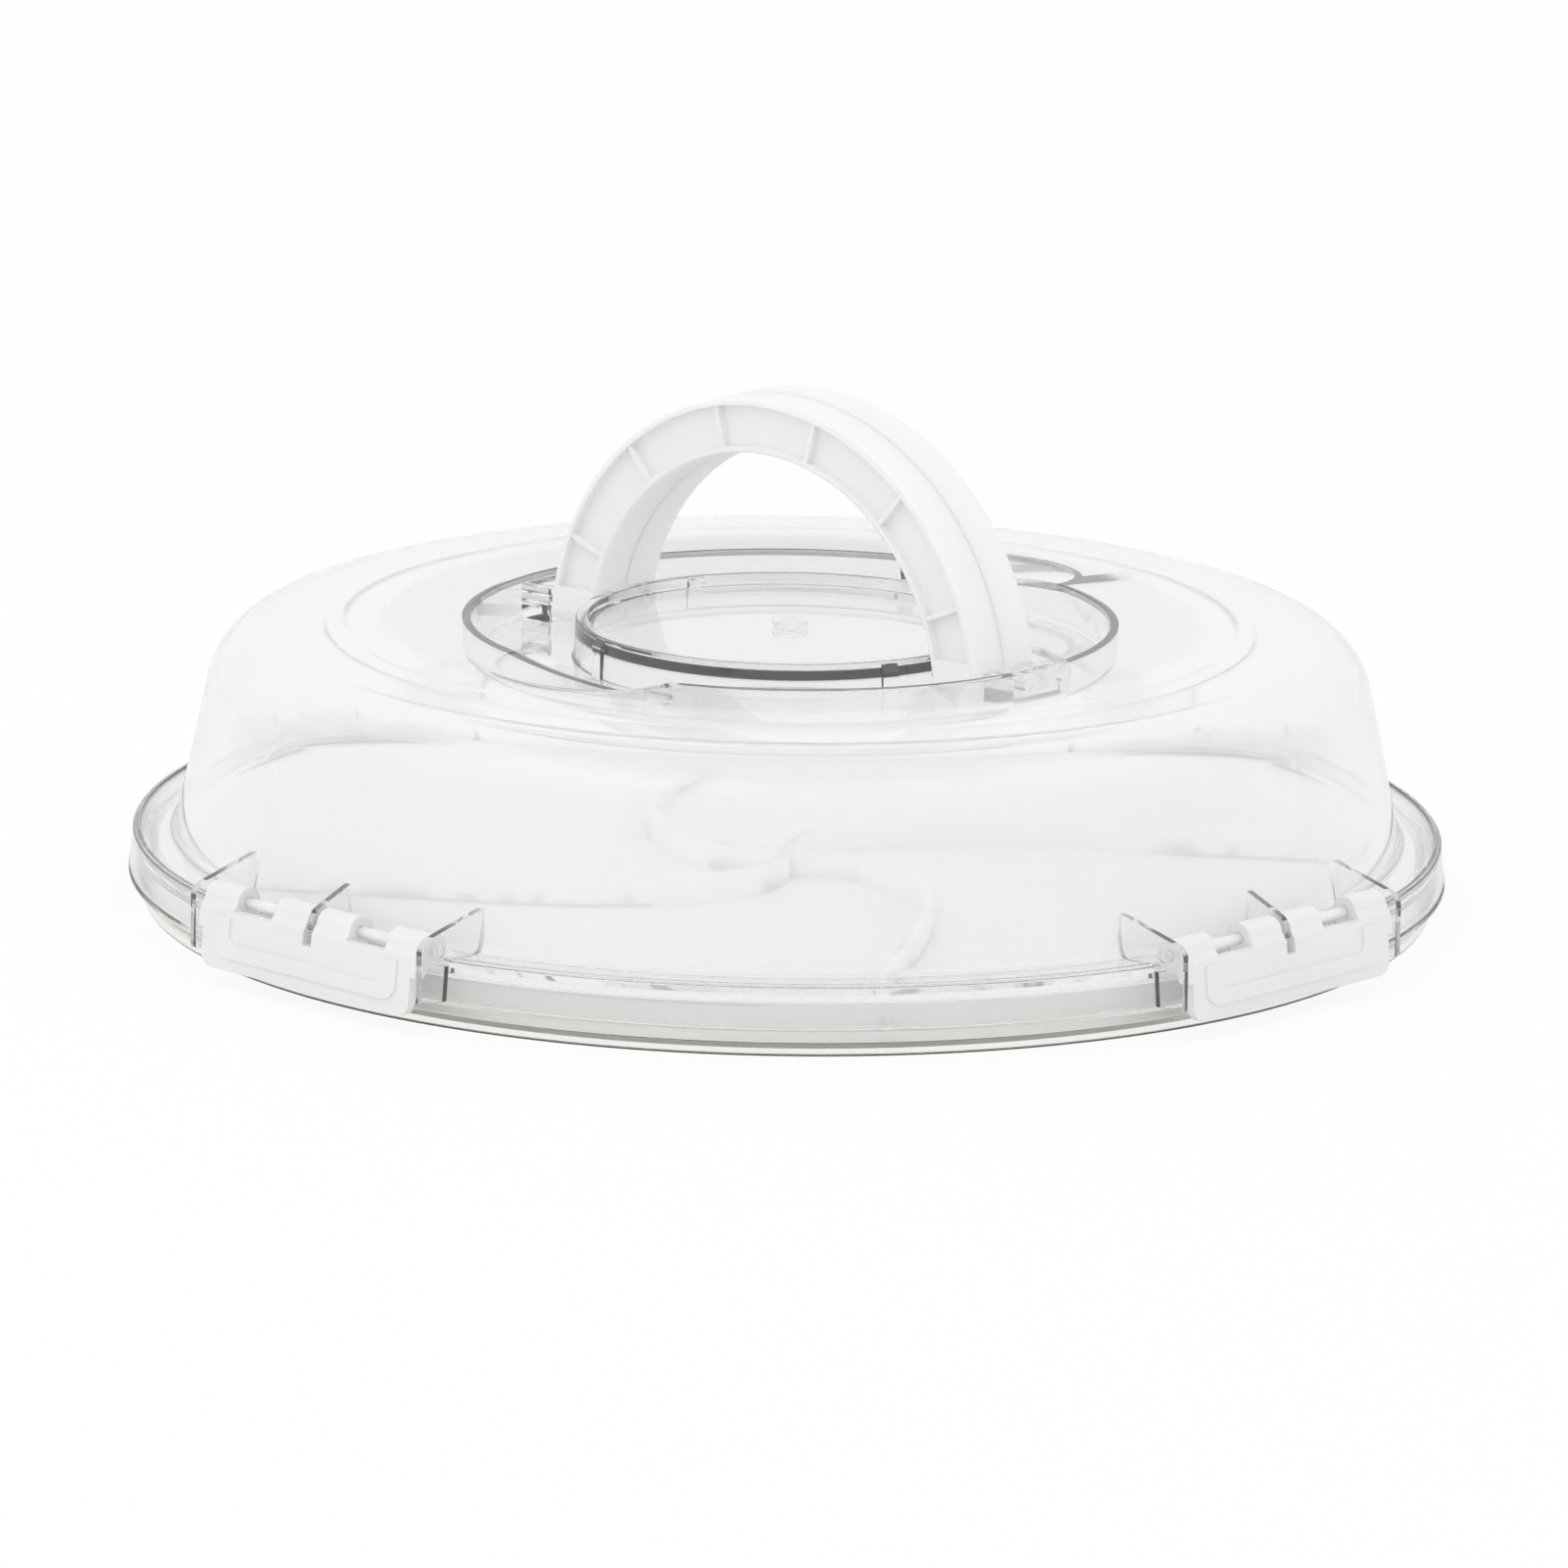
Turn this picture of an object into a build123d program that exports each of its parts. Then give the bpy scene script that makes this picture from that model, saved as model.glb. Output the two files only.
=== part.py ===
from build123d import *
import math
import os

# Heights are measured up from the table, sizes in millimetres

# Walls and clearances
WALL = 2.0
SEAT_GAP = 0.2
FACE_GAP = 0.4
PIN_FIT = 0.02
HINGE_FIT = 0.08

# Cover rim and skirt
RIM_R = 165.0
RIM_Z = 17.8
SKIRT_R = RIM_R + 0.8
BEAD_R = RIM_R - 1.3
BEAD_HEIGHT = 0.75
BEAD_HALF = 0.6
RIM_ROUND = 0.6

# Dome
FLANGE_WIDTH = 10.6
DOME_FOOT_R = RIM_R - FLANGE_WIDTH
DOME_FOOT_ROUND = 2.0
DOME_WALL_LEAN = 0.2146
SHOULDER_Z = RIM_Z + 51.9
SHOULDER_ROUND = 17.5
STEP_R = 115.0
STEP_HEIGHT = 1.0
STEP_RUN = 1.6
STEP_ROUND = 0.9
TOP_Z = SHOULDER_Z + 2.0

# Well for the folded handle, with a raised island in its middle
WELL_R = 80.5
WELL_DEPTH = 10.5
WELL_EDGE_ROUND = 0.6
WELL_FLOOR_ROUND = 1.5
ISLAND_TOP_R = 54.0
ISLAND_FOOT_R = ISLAND_TOP_R + 0.6
ISLAND_FOOT_ROUND = 0.4
ISLAND_RIM = 3.0
DISH_RUN = 1.0
DISH_DEPTH = 2.5
NUB_R = 4.5
NUB_HEIGHT = 2.0
NUB_WALL = 1.5
NUB_FLOOR = 0.4
CLIP_ANGLES = (-23.5, 68.5)
CLIP_HALF = 2.2
CLIP_REACH = 0.7

# Finger scoops beside the well
SCOOP_R = 78.0
SCOOP_REACH = 20.5
SCOOP_HALF_WIDTH = 25.0
SCOOP_MID_DEPTH = 2.4
SCOOP_TILT = 5.0

# Base tray
LIP_R = SKIRT_R + 0.3
LIP_Z = 7.8
LIP_EDGE = 0.6
BASE_WALL_R = RIM_R - WALL - FACE_GAP
BASE_RIM_Z = RIM_Z - 4.2
BASE_EDGE_ROUND = 0.6
BASE_FOOT_ROUND = 1.4
FOOT_RING_R = BASE_WALL_R - 13.6
FOOT_HEIGHT = 1.0

# Divided insert
INSERT_RIM_R = BASE_WALL_R - 2 * WALL
INSERT_RIM_Z = BASE_RIM_Z - FACE_GAP
INSERT_RIM_THICK = 1.2
INSERT_FLOOR_R = INSERT_RIM_R - 9.1
INSERT_LEAN = 5.0
INSERT_WALL = 1.6
INSERT_FLOOR_ROUND = 3.0
DIVIDER_TOP_Z = INSERT_RIM_Z - 1.4
DIVIDER_WIDTH = 1.8

# Latches, placed between the four quarters, with the rods and ears that carry them
LATCH_ANGLES = {"front_left": -135, "front_right": -45, "rear_left": 135, "rear_right": 45}
ROD_R = RIM_R - 1.9
ROD_Z = RIM_Z + 2.8
ROD_RADIUS = 1.4
EAR_OFFSET = 39.2
EAR_THICK = 1.8
EAR_PEAK_Z = RIM_Z + 11.1
EAR_LEAN = 0.4
EAR_CORNER_R = RIM_R + 4.3
EAR_CORNER_Z = RIM_Z + 5.8
EAR_CORNER_ROUND = 3.5
EAR_ROOT = 0.8
ROD_HALF = EAR_OFFSET + EAR_THICK
HUB_RADIUS = 4.5
KNUCKLE_RADIUS = 3.9
PLATE_HALF = EAR_OFFSET - EAR_THICK / 2 - 6 * FACE_GAP
KNUCKLE_ENDS = [(1.5, 13.0), (26.0, PLATE_HALF + 1.5)]
PLATE_THICK = 2.4
PLATE_TOP_R = ROD_R + 5.5
PLATE_FOOT_R = PLATE_TOP_R + 1.4
PLATE_TOP_Z = ROD_Z - 1.4
PLATE_FOOT_Z = 4.6
PLATE_ROUND = 3.5
BAND_HEIGHT = 0.5
BAND_WIDTH = 5.0
BAND_INSET = 4.5
BAND_LOW = 3.2
BAND_ROUND = 4.5
HOOK_TIP_R = LIP_R - 1.5
HOOK_HALF = 30.0
HOOK_GAP = 0.3

# Folding handle, two halves side by side
HANDLE_ANGLE = -41.0
ARCH_OUTER = 69.5
ARCH_INNER = 55.8
ARCH_Z = TOP_Z - 12.5
HALF_WIDTH = 12.0
PIVOT_OFFSET = 7.2
PIVOT_Z = ARCH_Z + PIVOT_OFFSET
PIN_RADIUS = 1.5
FOOT_ROUND = HALF_WIDTH - PIVOT_OFFSET
MID_GAP = 0.15
EDGE_ROUND = 0.7
CHANNEL_BORDER = 1.6
CHANNEL_DEPTH = 2.4
CHANNEL_START = 5.0
RIB_COUNT = 6
RIB_STEP = 27.0
RIB_THICK = 1.2
RIB_DROP = 0.4
BLOCK_START = ARCH_OUTER + 0.7
BLOCK_HALF = 11.0
BLOCK_ROUND = 1.0


def section(corners):
    """Face in the XZ plane through corners given as (x, z) or (x, z, rounding)."""
    face = Face(Wire.make_polygon([(corner[0], 0, corner[1]) for corner in corners], close=True))
    for corner in corners:
        if len(corner) == 3:
            vertex = face.vertices().sort_by_distance((corner[0], 0, corner[1]))[0]
            face = face.fillet_2d(corner[2], [vertex])
    return face


def turned(corners):
    """Section turned about the upright axis."""
    return revolve(section(corners), Axis.Z)


def slab(face, start, end):
    """Face in the XZ plane made solid from y = start to y = end."""
    return Pos(0, start, 0) * extrude(face, amount=end - start, dir=(0, 1, 0))


def rod_along_y(radius, x, z, start, end):
    length = end - start
    return Pos(x, (start + end) / 2, z) * Rot(X=90) * Cylinder(radius, length)


def rod_along_x(radius, y, z, start, end):
    length = end - start
    return Pos((start + end) / 2, y, z) * Rot(Y=90) * Cylinder(radius, length)


def box_between(low, high):
    size = [b - a for a, b in zip(low, high)]
    centre = [(a + b) / 2 for a, b in zip(low, high)]
    return Pos(*centre) * Box(*size)


def half_turns(shape):
    """The shape and its copy half a turn round the upright axis."""
    return [shape, Rot(Z=180) * shape]


def dome_radius(z):
    """Outer radius of the dome's leaning wall at a height."""
    return DOME_FOOT_R - DOME_WALL_LEAN * (z - RIM_Z)


# Cover


def cover_outside():
    skirt_z = LIP_Z + SEAT_GAP
    return turned([
        (0, skirt_z),
        (SKIRT_R, skirt_z),
        (RIM_R, RIM_Z, RIM_ROUND),
        (DOME_FOOT_R, RIM_Z, DOME_FOOT_ROUND),
        (dome_radius(SHOULDER_Z), SHOULDER_Z, SHOULDER_ROUND),
        (STEP_R + STEP_RUN, SHOULDER_Z, STEP_ROUND),
        (STEP_R, SHOULDER_Z + STEP_HEIGHT, STEP_ROUND),
        (WELL_R, TOP_Z, WELL_EDGE_ROUND),
        (WELL_R, TOP_Z - WELL_DEPTH, WELL_FLOOR_ROUND),
        (ISLAND_FOOT_R, TOP_Z - WELL_DEPTH, ISLAND_FOOT_ROUND),
        (ISLAND_TOP_R, TOP_Z, WELL_EDGE_ROUND),
        (ISLAND_TOP_R - ISLAND_RIM, TOP_Z, WELL_EDGE_ROUND),
        (ISLAND_TOP_R - ISLAND_RIM - DISH_RUN, TOP_Z - DISH_DEPTH, DISH_RUN),
        (0, TOP_Z - DISH_DEPTH),
    ])


def cover_inside():
    skirt_z = LIP_Z + SEAT_GAP
    floor_z = TOP_Z - WELL_DEPTH - WALL
    dish_z = TOP_Z - DISH_DEPTH - WALL
    top_z = SHOULDER_Z - WALL
    wall_across = WALL / math.cos(math.atan(DOME_WALL_LEAN))
    return turned([
        (0, skirt_z - WALL),
        (SKIRT_R - WALL, skirt_z - WALL),
        (SKIRT_R - WALL, skirt_z),
        (RIM_R - WALL, RIM_Z - WALL),
        (dome_radius(RIM_Z - WALL) - wall_across, RIM_Z - WALL, DOME_FOOT_ROUND / 2),
        (dome_radius(top_z) - wall_across, top_z, SHOULDER_ROUND - WALL),
        (STEP_R, top_z, STEP_ROUND),
        (STEP_R - STEP_RUN, top_z + STEP_HEIGHT, STEP_ROUND),
        (WELL_R + WALL, TOP_Z - WALL),
        (WELL_R + WALL, floor_z, WELL_FLOOR_ROUND + WALL),
        (ISLAND_FOOT_R - WALL, floor_z, ISLAND_FOOT_ROUND),
        (ISLAND_TOP_R - WALL, dish_z, WELL_EDGE_ROUND),
        (0, dish_z),
    ])


def rim_bead():
    root_half = BEAD_HALF + 0.2
    rounding = 2 * BEAD_HALF / 3
    return turned([
        (BEAD_R - root_half, RIM_Z - WALL / 4),
        (BEAD_R - BEAD_HALF, RIM_Z + BEAD_HEIGHT, rounding),
        (BEAD_R + BEAD_HALF, RIM_Z + BEAD_HEIGHT, rounding),
        (BEAD_R + root_half, RIM_Z - WALL / 4),
    ])


def scoop_body(grow, drop):
    """Oval beside the well with a floor that slopes round the well."""
    oval = extrude(Ellipse(SCOOP_REACH + grow, SCOOP_HALF_WIDTH + grow), WELL_DEPTH + 2 * WALL)
    body = Pos(SCOOP_R, 0, TOP_Z - SCOOP_MID_DEPTH - drop) * Rot(X=-SCOOP_TILT) * oval
    return Rot(Z=HANDLE_ANGLE + 90) * body


def hinge_block():
    """Block in the well that carries the outer ends of two handle pins."""
    floor_z = TOP_Z - WELL_DEPTH
    block = box_between(
        (BLOCK_START, -BLOCK_HALF, floor_z - WALL / 2),
        (WELL_R + WALL, BLOCK_HALF, PIVOT_Z + PIN_RADIUS + WALL),
    )
    block = fillet(block.edges().filter_by(Axis.Z).sort_by(Axis.X)[:2], BLOCK_ROUND)
    return Rot(Z=HANDLE_ANGLE) * (block & Cylinder(WELL_R + WALL / 2, 4 * TOP_Z))


def island_clip():
    """Upright rib on the island that holds a folded handle half."""
    low_z = TOP_Z - WELL_DEPTH - WALL / 4
    high_z = TOP_Z - CLIP_REACH
    root_r = ISLAND_TOP_R - WALL + WALL / 4
    rib = section([
        (root_r, low_z),
        (ISLAND_FOOT_R + CLIP_REACH, low_z),
        (ISLAND_FOOT_R + CLIP_REACH, high_z - 3 * CLIP_REACH),
        (ISLAND_TOP_R, high_z),
        (root_r, high_z),
    ])
    return slab(rib, -CLIP_HALF, CLIP_HALF)


def pin_bore(side):
    """Hole for a handle pin, open towards the dome's inside."""
    start = ISLAND_TOP_R - WALL + HOOK_GAP
    return rod_along_x(PIN_RADIUS + PIN_FIT, side * PIVOT_OFFSET, PIVOT_Z, start, WELL_R + 2 * WALL)


def pocket_inner_x():
    return ROD_R - KNUCKLE_RADIUS - 2 * FACE_GAP


def pocket_floor_z():
    return ROD_Z - KNUCKLE_RADIUS - FACE_GAP


def latch_pocket_floor():
    """Thick part of the rim below a latch, in the latch's own direction."""
    half = EAR_OFFSET + WALL
    body = box_between(
        (pocket_inner_x() - 0.7 * WALL, -half, pocket_floor_z() - 0.95 * WALL),
        (RIM_R + WALL, half, RIM_Z - WALL / 4),
    )
    return body & Cylinder(RIM_R - WALL / 4, 4 * RIM_Z)


def latch_pocket():
    """Room for the turning knuckles, cut into the rim."""
    half = EAR_OFFSET - EAR_THICK / 2
    return box_between((pocket_inner_x(), -half, pocket_floor_z()), (EAR_CORNER_R + WALL, half, ROD_Z))


def across_at(radius, offset):
    """Distance along the latch's direction to a radius, beside the middle by an offset."""
    return math.sqrt(radius ** 2 - offset ** 2)


def outer_ear(side):
    back_x = across_at(DOME_FOOT_R - WALL / 2, EAR_OFFSET)
    skirt_x = across_at(RIM_R - WALL / 4, EAR_OFFSET)
    face = section([
        (back_x - EAR_LEAN, RIM_Z - EAR_ROOT),
        (back_x, EAR_PEAK_Z, EAR_LEAN),
        (EAR_CORNER_R, EAR_CORNER_Z, EAR_CORNER_ROUND),
        (EAR_CORNER_R, LIP_Z + SEAT_GAP, EAR_THICK / 2),
        (skirt_x, LIP_Z + SEAT_GAP),
        (skirt_x, RIM_Z - EAR_ROOT),
    ])
    middle = side * EAR_OFFSET
    return slab(face, middle - EAR_THICK / 2, middle + EAR_THICK / 2)


def middle_ear():
    """Ear between the inner knuckles, its end a round hub about the rod."""
    peak_x = DOME_FOOT_R + EAR_LEAN
    run = ROD_R - peak_x
    fall = EAR_PEAK_Z - ROD_Z
    reach = math.hypot(run, fall)
    turn = math.atan2(fall, -run) - math.acos(HUB_RADIUS / reach)
    face = section([
        (DOME_FOOT_R, RIM_Z - EAR_ROOT),
        (peak_x, EAR_PEAK_Z, EAR_LEAN),
        (ROD_R + HUB_RADIUS * math.cos(turn), ROD_Z + HUB_RADIUS * math.sin(turn)),
        (ROD_R, ROD_Z),
        (ROD_R, RIM_Z - EAR_ROOT),
    ])
    plate = slab(face, -EAR_THICK / 2, EAR_THICK / 2)
    return plate + rod_along_y(HUB_RADIUS, ROD_R, ROD_Z, -EAR_THICK / 2, EAR_THICK / 2)


def cover():
    outside = cover_outside()
    shell = outside - cover_inside() + rim_bead()
    lining = (scoop_body(WALL, WALL) & outside) - Cylinder(WELL_R, 4 * TOP_Z)
    for part in half_turns(lining):
        shell += part
    for part in half_turns(scoop_body(0, 0)):
        shell -= part
    for part in half_turns(hinge_block()):
        shell += part
    for angle in CLIP_ANGLES:
        for part in half_turns(Rot(Z=HANDLE_ANGLE + angle) * island_clip()):
            shell += part
    for side in (-1, 1):
        for part in half_turns(Rot(Z=HANDLE_ANGLE) * pin_bore(side)):
            shell -= part
    dish_z = TOP_Z - DISH_DEPTH
    shell += Pos(0, 0, dish_z + NUB_HEIGHT / 2) * Cylinder(NUB_R, NUB_HEIGHT)
    shell -= Pos(0, 0, dish_z + NUB_HEIGHT) * Cylinder(NUB_R - NUB_WALL, 2 * (NUB_HEIGHT - NUB_FLOOR))
    for angle in LATCH_ANGLES.values():
        shell += Rot(Z=angle) * latch_pocket_floor()
        shell -= Rot(Z=angle) * latch_pocket()
    hole = rod_along_y(ROD_RADIUS + PIN_FIT, ROD_R, ROD_Z, -ROD_HALF - WALL, ROD_HALF + WALL)
    for angle in LATCH_ANGLES.values():
        ears = outer_ear(-1) + outer_ear(1) + middle_ear()
        shell += Rot(Z=angle) * (ears - hole)
    return shell


# Base tray and divided insert


def base_tray():
    floor_z = FOOT_HEIGHT + WALL
    inner_r = BASE_WALL_R - WALL
    lip_fall = LIP_R - BASE_WALL_R
    return turned([
        (0, FOOT_HEIGHT),
        (FOOT_RING_R - FOOT_HEIGHT, FOOT_HEIGHT),
        (FOOT_RING_R, 0),
        (BASE_WALL_R, 0, BASE_FOOT_ROUND),
        (BASE_WALL_R, LIP_Z - LIP_EDGE - lip_fall),
        (LIP_R, LIP_Z - LIP_EDGE),
        (LIP_R, LIP_Z),
        (BASE_WALL_R, LIP_Z),
        (BASE_WALL_R, BASE_RIM_Z, BASE_EDGE_ROUND),
        (inner_r, BASE_RIM_Z, BASE_EDGE_ROUND),
        (inner_r, floor_z, WALL),
        (0, floor_z),
    ])


def divider_arm():
    """One arm of the curved dividers, from the middle to the outer wall."""
    share = INSERT_FLOOR_R / 10
    path = Spline(
        (0, 0),
        (1.4 * share, -0.6 * share),
        (2.2 * share, -2.4 * share),
        (2.2 * share, -4.4 * share),
        (1.35 * share, -INSERT_FLOOR_R - INSERT_WALL),
    )
    return extrude(trace(path, DIVIDER_WIDTH), DIVIDER_TOP_Z)


def divided_insert():
    foot_z = FOOT_HEIGHT + WALL + SEAT_GAP
    floor_z = foot_z + INSERT_WALL
    ledge_z = INSERT_RIM_Z - INSERT_RIM_THICK
    rim_round = INSERT_RIM_THICK / 2.4
    tray = turned([
        (0, foot_z),
        (INSERT_FLOOR_R, foot_z, INSERT_FLOOR_ROUND),
        (INSERT_FLOOR_R + INSERT_LEAN, ledge_z, rim_round),
        (INSERT_RIM_R, ledge_z),
        (INSERT_RIM_R, INSERT_RIM_Z, rim_round),
        (INSERT_FLOOR_R + INSERT_LEAN - INSERT_WALL / 2, INSERT_RIM_Z, rim_round),
        (INSERT_FLOOR_R - INSERT_WALL, floor_z, INSERT_FLOOR_ROUND),
        (0, floor_z),
    ])
    clear = Pos(0, 0, floor_z - INSERT_WALL / 3 - RIM_R) * Cylinder(RIM_R, 2 * RIM_R)
    for angle in (0, 90, 180, 270):
        tray += Rot(Z=angle) * divider_arm() - clear
    return tray


# Latches


def plate_radius(z):
    """Outer face of the latch plate, which leans out towards its foot."""
    share = (PLATE_TOP_Z - z) / (PLATE_TOP_Z - PLATE_FOOT_Z)
    return PLATE_TOP_R + share * (PLATE_FOOT_R - PLATE_TOP_R)


def round_outline(half, low, high, rounding):
    """Upright plate outline, square at the top, seen along the latch's own direction."""
    near_x = RIM_R / 2
    face = Face(Wire.make_polygon(
        [(near_x, -half, low), (near_x, half, low), (near_x, half, high), (near_x, -half, high)],
        close=True,
    ))
    lower = face.vertices().sort_by(Axis.Z)[:2]
    return extrude(face.fillet_2d(rounding, lower), amount=RIM_R, dir=(1, 0, 0))


def plate_sheet(low, high, start, end):
    """Leaning sheet between two depths behind the plate's outer face."""
    return section([
        (plate_radius(low) - end, low),
        (plate_radius(low) - start, low),
        (plate_radius(high) - start, high),
        (plate_radius(high) - end, high),
    ])


def knuckle(start, end):
    """Round knuckle with the arm that joins it to the plate."""
    across = KNUCKLE_RADIUS * math.cos(math.radians(60))
    up = KNUCKLE_RADIUS * math.sin(math.radians(60))
    low_z = PLATE_TOP_Z - 2 * PLATE_THICK
    arm = section([
        (ROD_R + across, ROD_Z + up),
        (plate_radius(PLATE_TOP_Z), PLATE_TOP_Z - FACE_GAP),
        (plate_radius(low_z), low_z),
        (plate_radius(low_z) - PLATE_THICK, low_z),
        (ROD_R + across, ROD_Z - up),
    ])
    return slab(arm, start, end) + rod_along_y(KNUCKLE_RADIUS, ROD_R, ROD_Z, start, end)


def latch_hook():
    """Ledge that reaches under the base's lip and follows its round."""
    slope_z = LIP_Z - LIP_EDGE - (LIP_R - HOOK_TIP_R) - HOOK_GAP
    top_z = LIP_Z - FACE_GAP
    far_r = PLATE_FOOT_R + 2 * PLATE_THICK
    near_x = HOOK_TIP_R - 3 * PLATE_THICK
    ring = turned([
        (HOOK_TIP_R, PLATE_FOOT_Z),
        (HOOK_TIP_R, slope_z),
        (HOOK_TIP_R + top_z - slope_z, top_z),
        (far_r, top_z),
        (far_r, PLATE_FOOT_Z),
    ])
    reach = section([
        (near_x, PLATE_FOOT_Z),
        (plate_radius(PLATE_FOOT_Z) - PLATE_THICK / 2, PLATE_FOOT_Z),
        (plate_radius(top_z) - PLATE_THICK / 2, top_z),
        (near_x, top_z),
    ])
    return ring & slab(reach, -HOOK_HALF, HOOK_HALF)


def latch():
    """Latch hanging closed, facing along +X."""
    above_z = PLATE_TOP_Z + PLATE_ROUND
    sheet = slab(plate_sheet(PLATE_FOOT_Z, PLATE_TOP_Z, 0, PLATE_THICK), -PLATE_HALF, PLATE_HALF)
    plate = sheet & round_outline(PLATE_HALF, PLATE_FOOT_Z, above_z, PLATE_ROUND)
    band_half = PLATE_HALF - BAND_INSET
    band = slab(plate_sheet(PLATE_FOOT_Z, PLATE_TOP_Z, -BAND_HEIGHT, BAND_HEIGHT), -PLATE_HALF, PLATE_HALF)
    band &= round_outline(band_half, PLATE_FOOT_Z + BAND_LOW, PLATE_TOP_Z - ROD_RADIUS, BAND_ROUND)
    inner_low = PLATE_FOOT_Z + BAND_LOW + 0.76 * BAND_WIDTH
    band -= round_outline(band_half - BAND_WIDTH, inner_low, above_z, BAND_ROUND - WALL)
    plate += band
    hub_room = HUB_RADIUS + FACE_GAP
    room = EAR_THICK
    plate -= box_between(
        (ROD_R, -room, ROD_Z - hub_room),
        (PLATE_FOOT_R + PLATE_THICK, room, ROD_Z + hub_room),
    )
    for start, end in KNUCKLE_ENDS:
        plate += knuckle(start, end)
        plate += knuckle(-end, -start)
    plate += latch_hook()
    bore = rod_along_y(ROD_RADIUS + HINGE_FIT, ROD_R, ROD_Z, -ROD_HALF, ROD_HALF)
    return plate - bore


def latch_rod():
    return rod_along_y(ROD_RADIUS, ROD_R, ROD_Z, -ROD_HALF, ROD_HALF)


# Handle


def standing(sketch, start, end):
    """Sketch about the arch's centre stood upright from y = start to y = end."""
    return Pos(0, end, ARCH_Z) * Rot(X=90) * extrude(sketch, end - start)


def arch_ring(border, low):
    """Upper part of the handle's arch, narrowed on both sides by a border."""
    ring = Circle(ARCH_OUTER - border) - Circle(ARCH_INNER + border)
    keep = Pos(0, low + ARCH_OUTER) * Rectangle(4 * ARCH_OUTER, 2 * ARCH_OUTER)
    return ring & keep


def foot_shape():
    """Round end that lets a half turn about its pivot, along the pivot line."""
    outer = Circle(FOOT_ROUND) & (Pos(FOOT_ROUND, -FOOT_ROUND) * Rectangle(2 * FOOT_ROUND, 2 * FOOT_ROUND))
    inner = Circle(PIVOT_OFFSET - MID_GAP) & (
        Pos(-PIVOT_OFFSET, -FOOT_ROUND / 2) * Rectangle(2 * PIVOT_OFFSET, FOOT_ROUND)
    )
    profile = Plane.YZ * (outer + inner)
    body = extrude(profile, amount=ARCH_OUTER + HALF_WIDTH, both=True)
    return Pos(0, PIVOT_OFFSET, PIVOT_Z) * body


def handle_half():
    """Half of the handle standing upright, folding towards +Y."""
    foot_low = PIVOT_OFFSET - FOOT_ROUND
    half = standing(arch_ring(0, foot_low), MID_GAP, HALF_WIDTH)
    rims = half.edges().filter_by(GeomType.CIRCLE).group_by(Axis.Y)[-1]
    half = fillet(rims, EDGE_ROUND)
    channel = standing(
        arch_ring(CHANNEL_BORDER, PIVOT_OFFSET + CHANNEL_START),
        HALF_WIDTH - CHANNEL_DEPTH,
        HALF_WIDTH + 1,
    )
    first_rib = 90 - RIB_STEP * (RIB_COUNT - 1) / 2
    for index in range(RIB_COUNT):
        line = Pos(ARCH_OUTER, 0) * Rectangle(2 * ARCH_OUTER, RIB_THICK)
        channel -= standing(Rot(Z=first_rib + RIB_STEP * index) * line, 0, HALF_WIDTH - RIB_DROP)
    half -= channel
    reach = ARCH_OUTER + HALF_WIDTH
    below = box_between((-reach, -HALF_WIDTH, PIVOT_Z - 3 * FOOT_ROUND), (reach, 2 * HALF_WIDTH, PIVOT_Z))
    half -= below - foot_shape()
    return half - rod_along_x(PIN_RADIUS + HINGE_FIT, PIVOT_OFFSET, PIVOT_Z, -reach, reach)


def handle_pin(side):
    """Pin of the half that folds towards +Y, at one end of the arch."""
    start = ISLAND_TOP_R - WALL + FACE_GAP
    pin = rod_along_x(PIN_RADIUS, PIVOT_OFFSET, PIVOT_Z, start, WELL_R + WALL - FACE_GAP)
    return pin if side > 0 else Pos(0, 2 * PIVOT_OFFSET, 0) * Rot(Z=180) * pin


def main():
    os.makedirs("parts", exist_ok=True)
    nodes = {"base_tray": base_tray(), "divided_insert": divided_insert(), "cover": cover()}
    for name, angle in LATCH_ANGLES.items():
        nodes["latch_" + name] = Rot(Z=angle) * latch()
        nodes["latch_rod_" + name] = Rot(Z=angle) * latch_rod()
    for name, angle in (("rear", HANDLE_ANGLE), ("front", HANDLE_ANGLE + 180)):
        nodes["handle_" + name] = Rot(Z=angle) * handle_half()
        right = 1 if name == "rear" else -1
        nodes["handle_pin_" + name + "_right"] = Rot(Z=angle) * handle_pin(right)
        nodes["handle_pin_" + name + "_left"] = Rot(Z=angle) * handle_pin(-right)
    for name, shape in nodes.items():
        export_step(shape, "parts/" + name + ".step")


main()
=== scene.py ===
import math
import bpy
from mathutils import Matrix, Vector


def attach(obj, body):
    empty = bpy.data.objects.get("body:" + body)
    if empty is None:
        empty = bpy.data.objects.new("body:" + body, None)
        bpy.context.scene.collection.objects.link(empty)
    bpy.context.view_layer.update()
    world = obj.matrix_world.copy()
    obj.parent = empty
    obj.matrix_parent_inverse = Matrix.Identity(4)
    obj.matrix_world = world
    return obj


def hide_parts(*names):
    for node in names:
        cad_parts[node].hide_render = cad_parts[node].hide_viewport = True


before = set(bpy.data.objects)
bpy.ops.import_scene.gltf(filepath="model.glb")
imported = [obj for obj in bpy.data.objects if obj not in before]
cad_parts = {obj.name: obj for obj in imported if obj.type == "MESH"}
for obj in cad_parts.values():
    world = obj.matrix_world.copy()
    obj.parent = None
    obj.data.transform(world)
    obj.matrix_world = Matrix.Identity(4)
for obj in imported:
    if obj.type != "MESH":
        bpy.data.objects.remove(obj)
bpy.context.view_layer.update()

MM = 0.001
MERGE_DISTANCE = 0.000002
IMAGE_SIZE = 1600

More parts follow.
